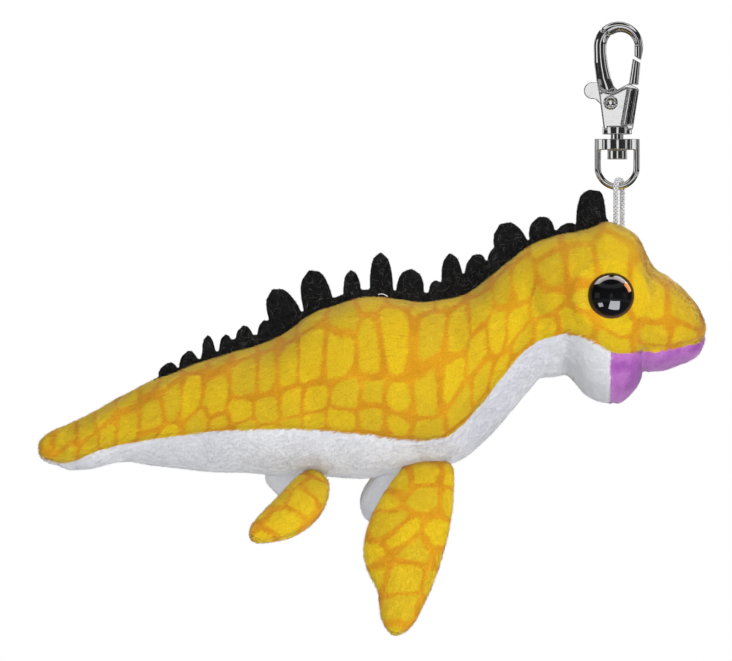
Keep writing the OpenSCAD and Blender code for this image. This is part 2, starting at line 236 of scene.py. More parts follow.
# ---- materials
class Shader:
    """A material's node tree, built from short calls. Values may be numbers, colours or sockets."""

    def __init__(self, name, kind="materials", surface="Principled BSDF"):
        self.material = getattr(bpy.data, kind).new(name)
        self.material.use_nodes = True
        self.tree = self.material.node_tree
        self.surface = self.tree.nodes[surface]

    def node(self, kind, settings=(), **values):
        made = self.tree.nodes.new("ShaderNode" + kind)
        for key, value in dict(settings).items():
            setattr(made, key, value)
        for key, value in values.items():
            self.give(made.inputs[key.replace("_", " ")], value)
        return made

    def give(self, socket, value):
        if isinstance(value, bpy.types.NodeSocket):
            self.tree.links.new(value, socket)
        elif hasattr(socket.default_value, "__len__") and len(socket.default_value) == 4:
            socket.default_value = (*value[:3], 1)
        else:
            socket.default_value = value

    def set(self, **values):
        for key, value in values.items():
            self.give(self.surface.inputs[key.replace("_", " ")], value)

    def attribute(self, name, output="Fac"):
        return self.node("Attribute", {"attribute_name": name}).outputs[output]

    def math(self, operation, a, b=0.0, c=0.0):
        made = self.node("Math", {"operation": operation})
        for socket, value in zip(made.inputs, (a, b, c)):
            self.give(socket, value)
        return made.outputs[0]

    def vector(self, operation, a, b=(0, 0, 0)):
        made = self.node("VectorMath", {"operation": operation})
        self.give(made.inputs[0], a)
        self.give(made.inputs["Scale" if operation == "SCALE" else 1], b)
        return made.outputs["Value" if operation == "LENGTH" else "Vector"]

    def step(self, value, low, high, to_low=0.0, to_high=1.0):
        """A smooth ramp from to_low to to_high as value goes from low to high."""
        made = self.node("MapRange", {"interpolation_type": "SMOOTHSTEP"}, Value=value,
                         From_Min=low, From_Max=high, To_Min=to_low, To_Max=to_high)
        return made.outputs["Result"]

    def mix(self, factor, a, b, blend="MIX"):
        made = self.node("Mix", {"data_type": "RGBA", "blend_type": blend})
        self.give(made.inputs["Factor"], factor)
        self.give(made.inputs[6], a)
        self.give(made.inputs[7], b)
        return made.outputs[2]

    def noise(self, vector, scale, detail=2.0, roughness=0.5, output="Fac"):
        made = self.node("TexNoise", Vector=vector, Scale=scale, Detail=detail, Roughness=roughness)
        return made.outputs[output]

    def place(self):
        """The point in the object's own metres."""
        return self.node("TexCoord").outputs["Object"]

    def bump(self, height, distance, strength):
        made = self.node("Bump", Height=height, Distance=distance, Strength=strength)
        self.give(self.surface.inputs["Normal"], made.outputs["Normal"])


def colour(red, green, blue):
    """A screen colour from 0 to 255 as the linear values that shaders take."""
    return tuple((c / 255 / 12.92) if c <= 10 else ((c / 255 + 0.055) / 1.055) ** 2.4
                 for c in (red, green, blue))


def plush_finish(shader, base, pile_shade_gain, grain=0.12):
    """What all the plush has: painted shade down at the blades' roots and on the backing between them,
    lighter pile tips, a soft sheen and a fine nap.
    """
    nap = shader.noise(shader.place(), 2600, 2.0)
    grain = shader.step(nap, 0.25, 0.75, 1 - grain, 1 + 0.6 * grain)
    # painted shade: darker at the roots and on the backing between blades, lighter at the tips
    tip = shader.math("MULTIPLY_ADD", shader.attribute("tip"), pile_shade_gain, 1 - 0.6 * pile_shade_gain)
    shade = shader.math("MULTIPLY", grain, tip)
    shader.set(Base_Color=shader.mix(1.0, base, shade, "MULTIPLY"), Roughness=0.95,
               Sheen_Weight=0.25, Sheen_Roughness=0.45, Specular_IOR_Level=0.15)
    shader.bump(nap, 0.0001, 0.4)


def yellow_plush():
    """Yellow cells with round corners between orange veins, and dark streaks painted as the shade where the
    pile parts.
    """
    s = Shader("yellow_plush")
    cell = s.attribute("cell", "Vector")
    wobble = s.vector("SUBTRACT", s.noise(cell, 1.1, 2.0, output="Color"), (0.5, 0.5, 0.5))
    bent = s.vector("ADD", cell, s.vector("SCALE", wobble, 0.3))
    first, second = (
        s.node("TexVoronoi",
               {"feature": feature, "voronoi_dimensions": "2D", "distance": "MINKOWSKI"},
               Vector=bent, Scale=1.0, Randomness=0.62, Exponent=3.2) for feature in ("F1", "F2"))
    near, gap = first.outputs["Distance"], second.outputs["Distance"]
    gap = s.math("SUBTRACT", gap, near)
    width = s.step(s.noise(cell, 0.8, 1.0), 0.3, 0.7, 0.04, 0.14)
    inside = s.math("MULTIPLY", s.step(s.math("SUBTRACT", gap, width), -0.02, 0.16),
                    s.step(near, 0.66, 0.54))
    tone = s.node("SeparateColor", Color=first.outputs["Color"]).outputs["Red"]
    cells = s.mix(tone, colour(219, 186, 28), colour(207, 175, 36))
    patches = s.noise(s.place(), 130, 2.0)
    cells = s.mix(s.step(patches, 0.5, 0.75, 0.0, 0.4), cells, colour(219, 176, 26))
    veins = s.mix(s.step(patches, 0.35, 0.65), colour(213, 156, 27), colour(205, 144, 26))
    faded = s.math("MULTIPLY", s.attribute("faded"), s.step(patches, 0.3, 0.6))
    inside = s.math("MAXIMUM", inside, faded)
    base = s.mix(inside, veins, cells)
    fibre = s.attribute("fibre", "Vector")
    # painted shade: dark streaks along the fibres where the pile parts
    parting_shade = s.noise(s.vector("MULTIPLY", fibre, (300, 2900, 300)), 1.0, 2.0, 0.6)
    parting_shade = s.step(parting_shade, 0.57, 0.68)
    parting_shade_amount = s.math("MULTIPLY", parting_shade, s.step(s.noise(s.place(), 60, 1.0), 0.42, 0.57, 0.0, 0.48))
    base = s.mix(parting_shade_amount, base, colour(188, 132, 20))
    plush_finish(s, base, 0.16)
    return s.material


def plain_plush(name, light, dark, patch_size, grain):
    """A one-colour plush with a faint mottle."""
    s = Shader(name)
    mottle = s.noise(s.place(), 1 / patch_size, 3.0)
    base = s.mix(s.step(mottle, 0.35, 0.7), light, dark)
    fine = s.noise(s.place(), 900, 2.0)
    base = s.mix(s.step(fine, 0.45, 0.8, 0.0, 3 * grain), base, dark)
    plush_finish(s, base, 0.08, grain)
    return s.material


def black_felt():
    """Matted fibres, with greyer clumps."""
    s = Shader("black_felt")
    place = s.place()
    mat = s.noise(place, 1500, 4.0, 0.7)
    clumps = s.noise(place, 320, 3.0, 0.6)
    base = s.mix(s.step(mat, 0.35, 0.75), colour(9, 9, 10), colour(29, 29, 30))
    base = s.mix(s.step(clumps, 0.5, 0.8, 0.0, 0.5), base, colour(36, 36, 38))
    s.set(Base_Color=base, Roughness=0.95, Sheen_Weight=0.07, Sheen_Roughness=0.5,
          Specular_IOR_Level=0.1)
    s.bump(s.math("ADD", mat, clumps), 0.00025, 0.8)
    return s.material


def lint_fibre():
    s = Shader("lint_fibre")
    tone = s.mix(s.noise(s.place(), 400, 1.0), colour(62, 62, 64), colour(112, 112, 112))
    s.set(Base_Color=tone, Roughness=0.8)
    return s.material


def eye_plastic():
    """Polished black plastic, a little brown towards its rim."""
    s = Shader("eye_plastic")
    rim = s.step(s.attribute("rim"), 0.86, 1.0)
    base = s.mix(rim, colour(4, 4, 5), colour(40, 26, 20))
    smear = s.noise(s.place(), 500, 3.0)
    s.set(Base_Color=base, Roughness=s.step(smear, 0.4, 0.8, 0.04, 0.09), Specular_IOR_Level=0.22)
    return s.material


def chrome(name="clasp_chrome", tint=(0.86, 0.86, 0.87), rough=0.035):
    """Bright plating over a die casting: faint waviness, fine rub marks and duller patches."""
    s = Shader(name)
    place = s.place()
    wave = s.noise(place, 420, 2.0)
    rubs = s.noise(s.vector("MULTIPLY", place, (1500, 5200, 900)), 1.0, 3.0, 0.7)
    dull = s.step(s.noise(place, 900, 3.0, 0.6), 0.5, 0.8)
    worn = s.math("MULTIPLY_ADD", dull, 0.08, s.step(rubs, 0.35, 0.8, rough, rough + 0.07))
    s.set(Base_Color=s.mix(dull, tint, tuple(0.8 * c for c in tint)), Metallic=1.0, Roughness=worn)
    s.bump(s.math("MULTIPLY_ADD", rubs, 0.12, wave), 0.00006, 0.4)
    return s.material


def braid_yarn():
    """Silvery yarn, with painted shade down in the gaps of the braid."""
    s = Shader("cord_braid")
    yarn = s.noise(s.vector("MULTIPLY", s.place(), (5200, 5200, 2600)), 1.0, 2.0)
    base = s.mix(s.step(yarn, 0.35, 0.7), colour(176, 176, 180), colour(236, 236, 238))
    # painted shade: the core tube between the strands is darkened for the shade in the braid's gaps
    base = s.mix(s.attribute("gap"), base, colour(58, 58, 62))
    s.set(Base_Color=base, Roughness=0.45, Sheen_Weight=0.3, Specular_IOR_Level=0.6)
    s.bump(yarn, 0.00006, 0.6)
    return s.material


def washer_plastic():
    """Plain moulded plastic with a faint grain."""
    s = Shader("washer_plastic")
    grain = s.noise(s.place(), 1200, 3.0)
    s.set(Base_Color=s.mix(grain, colour(236, 236, 230), colour(214, 214, 206)), Roughness=0.6)
    s.bump(grain, 0.00005, 0.4)
    return s.material


FABRIC = {
    "yellow_plush": yellow_plush(),
    "white_plush": plain_plush("white_plush", colour(209, 210, 214), colour(195, 196, 203), 0.02, 0.03),
    "purple_plush": plain_plush("purple_plush", colour(196, 124, 204), colour(168, 92, 182), 0.004, 0.12)}
FELT = black_felt()
LINT = lint_fibre()
EYE = eye_plastic()
CHROME = chrome()
BRAID = braid_yarn()
STEEL = chrome("spring_steel", (0.55, 0.55, 0.56), 0.25)
WASHER = washer_plastic()


# ---- cord
CORD_STEP = 0.15 * MM


def cord_path():
    """Up the near leg from the knot, over the ring's wire and down the far leg, in metres."""
    x, leg_x, leg_y = -0.29, 0.7, 0.65
    wire_z, bight, foot = -29.5, 1.53, -44.4
    up = [(x - leg_x, -leg_y, foot), (x - leg_x, -leg_y, -37.5), (x - leg_x, -leg_y - 0.15, -33.1),
          (x - leg_x, -bight + 0.1, -31.1)]
    over = [(x - leg_x * math.cos(a), -bight * math.cos(a), wire_z + bight * math.sin(a))
            for a in np.linspace(0, math.pi, 13)]
    down = [(2 * x - px, -py, pz) for px, py, pz in reversed(up)]
    points = np.array(up + over + down) * MM
    return evenly_along(points, CORD_STEP)


def evenly_along(points, step):
    """A smooth run of points a step apart through these ones."""
    fine = []
    for i in range(len(points) - 1):
        a, b = points[max(i - 1, 0)], points[i]
        c, d = points[i + 1], points[min(i + 2, len(points) - 1)]
        for t in np.linspace(0, 1, 24, endpoint=False):
            fine.append(0.5 * (2 * b + (c - a) * t + (2 * a - 5 * b + 4 * c - d) * t * t
                               + (3 * b - a - 3 * c + d) * t ** 3))
    fine = np.array(fine + [points[-1]])
    run = np.concatenate([[0], np.cumsum(np.linalg.norm(np.diff(fine, axis=0), axis=1))])
    at = np.linspace(0, run[-1], max(2, round(run[-1] / step)))
    return np.stack([np.interp(at, run, fine[:, k]) for k in range(3)], 1)


def rail(path):
    """Two directions across the path at each of its points, carried along without twist."""
    along = unit(np.gradient(path, axis=0))
    side = np.cross(along[0], (1, 0, 0) if abs(along[0][0]) < 0.9 else (0, 1, 0))
    sides = []
    for t in along:
        side = side - t * (side @ t)
        side = side / np.linalg.norm(side)
        sides.append(side)
    sides = np.array(sides)
    return sides, np.cross(along, sides)


def tube(path, radius, sides):
    """Points and faces of a tube along a path, closed at both ends. radius may vary along it."""
    u, v = rail(path)
    radius = np.broadcast_to(radius, len(path))[:, None, None]
    turn = np.linspace(0, 2 * math.pi, sides, endpoint=False)[None, :, None]
    rings = path[:, None] + radius * (u[:, None] * np.cos(turn) + v[:, None] * np.sin(turn))
    last = (len(path) - 1) * sides
    faces = [(i + k, i + (k + 1) % sides, i + sides + (k + 1) % sides, i + sides + k)
             for i in range(0, last, sides) for k in range(sides)]
    faces += [tuple(reversed(range(sides))), tuple(range(last, last + sides))]
    return rings.reshape(-1, 3), faces


def gathered(parts):
    """One list of points and one of faces from several."""
    points, faces, start = [], [], 0
    for some_points, some_faces in parts:
        points.append(some_points)
        faces += [tuple(start + i for i in f) for f in some_faces]
        start += len(some_points)
    return np.concatenate(points), faces


def make_cord():
    """A round braid: four strands each way, passing over and under each other."""
    path = cord_path()
    u, v = rail(path)
    run = np.arange(len(path)) * CORD_STEP
    strands = 4
    whole_turns = 2 * math.pi * run / (3.0 * MM)
    # the core tube fills the gaps between the strands and carries the painted shade there
    parts = [tube(path, 0.36 * MM, 10)]
    for hand in (-1, 1):
        for k in range(strands):
            turn = (hand * whole_turns + 2 * math.pi * k / strands)[:, None]
            weave = 0.06 * MM * np.cos(strands * whole_turns)
            out = (0.44 * MM + weave * hand)[:, None]
            line = path + out * (u * np.cos(turn) + v * np.sin(turn))
            parts.append(tube(line, 0.125 * MM, 6))
    cord = mesh_object("braided_cord", *gathered(parts))
    # marks the core tube's vertices for the painted shade in the braid's gaps
    gap = np.zeros(len(cord.data.vertices))
    gap[:len(parts[0][0])] = 1
    put_attribute(cord.data, "gap", gap)
    finish_piece(cord, None, "cord_braid", BRAID, "cord_loop")
    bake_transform(cord)


make_cord()


# ---- stuffed forms
# each panel's node, the piece that replaces it, its slot, and its number of blades of pile
PANELS = (("skin_left", "left_skin", "yellow_plush", 62000),
          ("skin_right", "right_skin", "yellow_plush", 62000),
          ("belly_skin", "belly_panel", "white_plush", 34000),
          ("jaw_skin", "jaw_panel", "white_plush", 6000),
          ("jaw_lining", "jaw_lining_pad", "purple_plush", 8000),
          ("palate_lining", "palate_pad", "purple_plush", 6000))
# each slot's nap direction and length of pile
PILE = {"yellow_plush": ((-1, 0, -0.35), 0.95 * MM), "white_plush": ((-1, 0, -0.2), 0.5 * MM),
        "purple_plush": ((-0.3, 0, -1), 0.7 * MM)}
BLADE_WIDE = 0.14 * MM


def sewn_form(panels, core_node):
    """The outside of a stuffed form: its panels' outward faces, joined along their seams."""
    stuffing = welded(core_node)
    core = BVHTree.FromBMesh(stuffing)
    form = bmesh.new()
    for index, node in enumerate(panels):
        skin = welded(node)
        stands_off = {v: core.find_nearest(v.co)[3] > 0.03 * MM for v in skin.verts}
        corner = {}
        for face in skin.faces:
            if all(stands_off[v] for v in face.verts):
                for v in face.verts:
                    if v not in corner:
                        corner[v] = form.verts.new(v.co)
                form.faces.new([corner[v] for v in face.verts]).material_index = index
        skin.free()
    stuffing.free()
    bmesh.ops.remove_doubles(form, verts=form.verts[:], dist=0.02 * MM)
    bmesh.ops.join_triangles(form, faces=form.faces[:], cmp_materials=True,
                             angle_face_threshold=math.pi, angle_shape_threshold=math.pi)
    return form


def join_panels(faces):
    """Gives new faces to the panels of the older faces beside them."""
    for face in faces:
        for edge in face.edges:
            for other in edge.link_faces:
                if other not in faces:
                    face.material_index = other.material_index


def close_ends(form):
    """Closes each open ring with a fan whose faces belong to the panels round it."""
    open_edges = [e for e in form.edges if e.is_boundary]
    caps = bmesh.ops.holes_fill(form, edges=open_edges, sides=0)["faces"]
    join_panels(set(bmesh.ops.poke(form, faces=caps)["faces"]))
    bmesh.ops.recalc_face_normals(form, faces=form.faces[:])


def form_object(name, form):
    mesh = bpy.data.meshes.new(name)
    form.to_mesh(mesh)
    form.free()
    return smooth_object(name, mesh)


def seam_vertices(mesh, pairs):
    """The numbers of the vertices on the seams between these pairs of panels."""
    panel = panels_of(mesh)
    first, found = {}, set()
    for face in mesh.polygons:
        for key in face.edge_keys:
            if key in first:
                pair = frozenset((first[key], panel[face.index]))
                if len(pair) == 2 and pair in pairs:
                    found.update(key)
            else:
                first[key] = panel[face.index]
    return sorted(found)


def inflated(obj, pinned, held, cap, softening):
    """Blows the fabric out between its seams with a cloth simulation, then keeps the result.

    Close to the held vertices, where glue and stitching stiffen the real fabric, it moves less.
    """
    rest = points_of(obj.data)
    grown = 10.0
    set_points(obj.data, rest * grown)
    group = obj.vertex_groups.new(name="seams")
    group.add([int(i) for i in pinned], 1.0, "REPLACE")
    cloth = obj.modifiers.new("cloth", "CLOTH")
    settings = cloth.settings
    settings.use_pressure = True
    settings.uniform_pressure_force = 4.0
    settings.effector_weights.gravity = 0
    settings.vertex_group_mass = "seams"
    settings.shrink_min = -0.045
    settings.quality = 5
    settings.mass = 0.4
    settings.tension_stiffness = 25
    settings.compression_stiffness = 25
    settings.bending_stiffness = 0.8
    cloth.collision_settings.use_collision = False
    last = 20
    cloth.point_cache.frame_start, cloth.point_cache.frame_end = 1, last
    for step in range(1, last + 1):
        bpy.context.scene.frame_set(step)
    blown = points_of(obj.evaluated_get(bpy.context.evaluated_depsgraph_get()).data) / grown
    bpy.context.scene.frame_set(1)
    obj.modifiers.clear()
    obj.vertex_groups.clear()
    moved = blown - rest
    far = np.linalg.norm(moved, axis=1)[:, None]
    moved *= np.minimum(1, cap / np.maximum(far, 1e-9))
    moved *= 0.2 + 0.8 * smooth_step(3 * MM, 10 * MM, distances(rest, rest[held]))[:, None]
    edges = np.empty(len(obj.data.edges) * 2, int)
    obj.data.edges.foreach_get("vertices", edges)
    edges = edges.reshape(-1, 2)
    joined = np.bincount(edges.ravel(), minlength=len(rest))[:, None]
    for _ in range(softening):
        around = np.zeros_like(moved)
        np.add.at(around, edges[:, 0], moved[edges[:, 1]])
        np.add.at(around, edges[:, 1], moved[edges[:, 0]])
        moved = 0.5 * moved + 0.5 * around / joined
    set_points(obj.data, rest + moved)


# the seams, as pairs of panel numbers
BACK_SEAM = {frozenset((0, 1))}
SIDE_SEAM = {frozenset((a, b)) for a in (0, 1) for b in (2, 3, 4, 5)}
MOUTH_FOLD = {frozenset((4, 5))}
LIP_SEAM = {frozenset((3, 4))}


def make_body_form():
    form = sewn_form([panel[0] for panel in PANELS], "body_stuffing")
    close_ends(form)
    body = subdivided(form_object("body_form", form), 1)
    pinned = seam_vertices(body.data, BACK_SEAM | SIDE_SEAM | MOUTH_FOLD | LIP_SEAM)
    mouth = seam_vertices(body.data, MOUTH_FOLD | LIP_SEAM)
    inflated(body, pinned, mouth, 0.6 * MM, 3)
    return subdivided(body, 2)


def panel_piece(name, form, index, attributes):
    """One panel of a form as its own piece, with its share of the form's attributes."""
    mesh = form.data
    faces = [tuple(f.vertices) for f in mesh.polygons if f.material_index == index]
    used = sorted({i for f in faces for i in f})
    place = {old: new for new, old in enumerate(used)}
    piece = mesh_object(name, points_of(mesh)[used], [[place[i] for i in f] for f in faces])
    for key, values in attributes.items():
        put_attribute(piece.data, key, values[used])
    return piece


def pile(name, base, count, length, width, nap, lean, seed):
    """Blades of pile over a piece, lying along the nap. Their length may vary over its vertices."""
    rng = np.random.default_rng(seed)
    mesh = base.data
    mesh.calc_loop_triangles()
    corners = np.empty(len(mesh.loop_triangles) * 3, int)
    mesh.loop_triangles.foreach_get("vertices", corners)
    corners = corners.reshape(-1, 3)
    points, normals = points_of(mesh), normals_of(mesh)
    a, b, c = (points[corners[:, k]] for k in range(3))
    area = np.linalg.norm(np.cross(b - a, c - a), axis=1)
    picked = rng.choice(len(corners), count, p=area / area.sum())
    w = rng.random((count, 2))
    w = np.where(w.sum(1)[:, None] > 1, 1 - w, w)
    weights = np.stack([1 - w.sum(1), w[:, 0], w[:, 1]], 1)[:, :, None]

    def spread(values):
        """Values at the vertices, taken to the blades' roots."""
        return (np.asarray(values)[corners[picked]] * weights).sum(1)

    root, normal = spread(points), unit(spread(normals))
    clump = np.stack([noise_at(root, 2.2 * MM, s) for s in (3.1, 7.7, 12.9)], 1)
    flow = np.asarray(nap, float) + 0.3 * clump + 0.16 * rng.normal(size=(count, 3))
    flow = unit(flow - normal * (flow * normal).sum(1)[:, None])
    lengths = np.broadcast_to(length, len(points))
    size = spread(lengths[:, None]) * (0.65 + 0.6 * rng.random((count, 1)))
    tilt = np.radians(lean + 7 * rng.normal(size=(count, 1)))
    across = np.cross(flow, normal) * width / 2 * (0.7 + 0.6 * rng.random((count, 1)))
    middle = root + size * 0.5 * (normal * np.cos(tilt * 0.7) + flow * np.sin(tilt * 0.7))
    tip = root + size * (normal * np.cos(tilt) + flow * np.sin(tilt))
    below = normal * 0.1 * MM
    blade = np.stack([root - across - below, root + across - below, middle - across * 0.8,
                      middle + across * 0.8, tip], 1).reshape(-1, 3)
    start = 5 * np.arange(count)[:, None]
    quads = (start + np.array([0, 1, 3, 2])).tolist()
    tips = (start + np.array([2, 3, 4])).tolist()
    obj = mesh_object(name, blade, quads + tips)
    # how far up each blade, from 0 at the root to 1 at the tip, for the painted shade at the roots
    put_attribute(obj.data, "tip", np.tile([0, 0, 0.5, 0.5, 1.0], count))
    for key in ("cell", "fibre", "faded"):
        if key in mesh.attributes:
            put_attribute(obj.data, key, np.repeat(spread(attribute_of(mesh, key)), 5, 0).squeeze())
    soft = np.repeat(unit(normal + 0.14 * flow), 5, 0)
    obj.data.normals_split_custom_set_from_vertices([tuple(n) for n in soft])
    return obj


def give_faces(mesh, seam, reach, taker, giver):
    """Passes the giver panel's faces within about reach of a seam to the taker panel."""
    panel = panels_of(mesh)
    centres = np.array([f.center for f in mesh.polygons])
    near = np.zeros(len(panel), bool)
    giving = panel == giver
    wavy = reach * (1 + 0.35 * noise_at(centres[giving], 1.2 * MM, 3.3))
    near[giving] = distances(centres[giving], seam) < wavy
    panel[near] = taker
    mesh.polygons.foreach_set("material_index", panel)


def make_body():
    form = make_body_form()
    mesh = form.data
    points, normals = points_of(mesh), normals_of(mesh)
    seams = [points[seam_vertices(mesh, pairs)] for pairs in (BACK_SEAM, SIDE_SEAM, MOUTH_FOLD, LIP_SEAM)]
    to_back, to_side, to_fold, to_lip = (distances(points, seam) for seam in seams)
    back, side, _, lip = seams
    to_seam = np.minimum(np.minimum(to_back, to_side), to_lip)
    give_faces(mesh, lip, 0.7 * MM, 4, 3)
    for taker, edge in ((0, side[side[:, 1] < 0]), (1, side[side[:, 1] > 0])):
        give_faces(mesh, edge, 0.55 * MM, taker, 5)

    # sewn seams pull in, the mouth folds deep, and the stuffing shows as soft lumps
    move = -0.32 * MM * falloff(to_seam, 0.8 * MM) - 0.38 * MM * falloff(to_fold, 0.8 * MM)
    move += 0.16 * MM * noise_at(points, 8 * MM, 1.7) + 0.07 * MM * noise_at(points, 3 * MM, 5.3)
    move += 0.035 * MM * noise_at(points, 1.1 * MM, 9.1)
    clear = np.ones(len(points))
    for side_sign, node in EYES:
        centre, axis = (np.array(part) for part in eye_place(node, side_sign))
        off = points - centre
        radial = np.linalg.norm(off - (off @ axis)[:, None] * axis, axis=1)
        near = np.abs(off @ axis) < 6 * MM
        move += near * (0.4 * MM * falloff(radial - 7.2 * MM, 1.2 * MM)
                        - 0.75 * MM * falloff(radial, 5.4 * MM, 4))
        clear -= near * 0.6 * smooth_step(6.4 * MM, 5.2 * MM, radial)
    set_points(mesh, points + normals * move[:, None])
    points = points_of(mesh)

    # places on the fabric: how far along the body, and how far down from the back seam
    order = np.argsort(back[:, 0])
    back_x, back_z = back[order, 0], back[order, 2]
    half = side[side[:, 1] < 0]
    order = np.argsort(half[:, 0])
    side_z = np.interp(back_x, half[order, 0], half[order, 2])
    middle = (back_z + side_z) / 2
    run = np.concatenate([[0], np.cumsum(np.hypot(np.diff(back_x), np.diff(middle)))])
    along = np.interp(points[:, 0], back_x, run)
    down = to_back / np.maximum(to_back + to_side, 1e-9)
    side_of = np.where(points[:, 1] < 0, 0.0, 37.0)
    whole = run[-1]
    mark = np.array([0, 0.14, 0.4, 0.62, 0.74, 0.84, 1]) * whole
    cell_width = np.interp(run, mark, np.array([6.0, 4.6, 5.6, 6.4, 6.4, 8.2, 7.6]) * MM)
    counted = np.concatenate([[0], np.cumsum(np.diff(run) / cell_width[1:])])
    cell_along = np.interp(points[:, 0], back_x, counted)
    row_count = np.interp(along, mark, [1.4, 1.9, 3.7, 4.0, 3.6, 3.6, 3.0])
    rows = row_count * np.interp(down, [0, 0.33, 0.64, 0.83, 1], [0, 0.25, 0.5, 0.75, 1])
    cell = np.stack([cell_along + side_of, rows + 40, np.zeros(len(rows))], 1)
    faded = 0.6 * smooth_step(0.74, 0.82, along / whole) * smooth_step(0.5, 0.28, down)
    attributes = {"cell": cell, "fibre": np.stack([along, to_back, side_of], 1), "faded": faded}

    # the nap lies back and down; at the side seam it hangs over the white
    over_white = smooth_step(0.86, 0.8, along / whole)
    attributes["fringe"] = clear * (0.75 + 0.5 * over_white * falloff(to_side, 1.0 * MM))
    for index, (node, name, slot, count) in enumerate(PANELS):
        piece = panel_piece(name, form, index, attributes)
        nap, length = PILE[slot]
        if slot == "yellow_plush":
            length = length * attribute_of(piece.data, "fringe").ravel()
        hairs = pile(name + "_pile", piece, count, length, BLADE_WIDE, nap, lean=75, seed=11 + index)
        nodes = (node, "body_stuffing") if node == "skin_left" else (node,)
        finish_piece(piece, "plush", slot, FABRIC[slot], *nodes)
        finish_piece(hairs, "plush", slot, FABRIC[slot])
    bpy.data.objects.remove(form)
    return back_x, back_z


# ---- eyes
EYES = ((-1, "eye_left"), (1, "eye_right"))
EYE_RADIUS = 5.0 * MM
EYE_HIGH = 3.6 * MM
EYE_BALL = (EYE_RADIUS ** 2 + EYE_HIGH ** 2) / (2 * EYE_HIGH)


def eye_place(node, side):
    """An eye's centre in the plane of its rim, and its outward direction."""
    tilt = math.radians(12)
    axis = Vector((0, side * math.cos(tilt), math.sin(tilt)))
    forward = Vector((1, 0, 0))
    across = axis.cross(forward)
    corners = [v.co for v in frame["nodes"][node].data.vertices]

    def middle(way):
        return (max(c @ way for c in corners) + min(c @ way for c in corners)) / 2

    rim = max(c @ axis for c in corners) - EYE_HIGH
    return forward * middle(forward) + across * middle(across) + axis * rim, axis


def turned(profile, segments):
    """Points and faces of a shape turned round Z from (radius, height) pairs that start and end on it."""
    points, faces, rings = [], [], []
    turn = [2 * math.pi * k / segments for k in range(segments)]
    for radius, height in profile:
        if radius < 1e-7:
            rings.append([len(points)])
            points.append((0, 0, height))
        else:
            rings.append(list(range(len(points), len(points) + segments)))
            points += [(radius * math.cos(a), radius * math.sin(a), height) for a in turn]
    for low, high in zip(rings, rings[1:]):
        for k in range(segments):
            a, b = low[k % len(low)], low[(k + 1) % len(low)]
            c, d = high[(k + 1) % len(high)], high[k % len(high)]
            face = [i for n, i in enumerate((a, b, c, d)) if i not in (a, b, c, d)[:n]]
            if len(face) > 2:
                faces.append(face)
    return np.array(points), faces


def along_axis(points, centre, axis):
    turn = Vector((0, 0, 1)).rotation_difference(axis).to_matrix()
    return np.array([centre + turn @ Vector(p) for p in points])


def make_eyes():
    """A domed eye: its crown, a rounded edge, and the thin rim that presses on the plush."""
    reach = math.asin(EYE_RADIUS / EYE_BALL)
    crown = [(EYE_BALL * math.sin(a), EYE_HIGH - EYE_BALL + EYE_BALL * math.cos(a))
             for a in np.linspace(reach * 0.985, 0, 22)]
    post = [(0, -3.5 * MM), (1.3 * MM, -3.5 * MM), (1.3 * MM, -0.9 * MM)]
    rim_edge = [(EYE_RADIUS + out * MM, up * MM) for out, up in
                ((-0.5, -0.85), (-0.12, -0.7), (0, -0.45), (0.02, -0.15), (-0.1, 0.05))]
    points, faces = turned(post + rim_edge + crown, 96)
    rim = np.hypot(points[:, 0], points[:, 1]) / EYE_RADIUS
    for side, node in EYES:
        centre, axis = eye_place(node, side)
        eye = mesh_object(node.replace("eye", "domed_eye"), along_axis(points, centre, axis), faces)
        put_attribute(eye.data, "rim", rim)
        finish_piece(eye, "plush", "eye_plastic", EYE, node)


# ---- flippers
def put_in_order(form):
    """Sorts edges and faces by their corners. An extrusion's order isn't the same each run."""
    form.verts.index_update()
    count = len(form.verts)

    def rank(element):
        corners = sorted(v.index for v in element.verts)
        return sum(corner * count ** -place for place, corner in enumerate(corners[:3]))

    form.edges.sort(key=rank)
    form.faces.sort(key=rank)


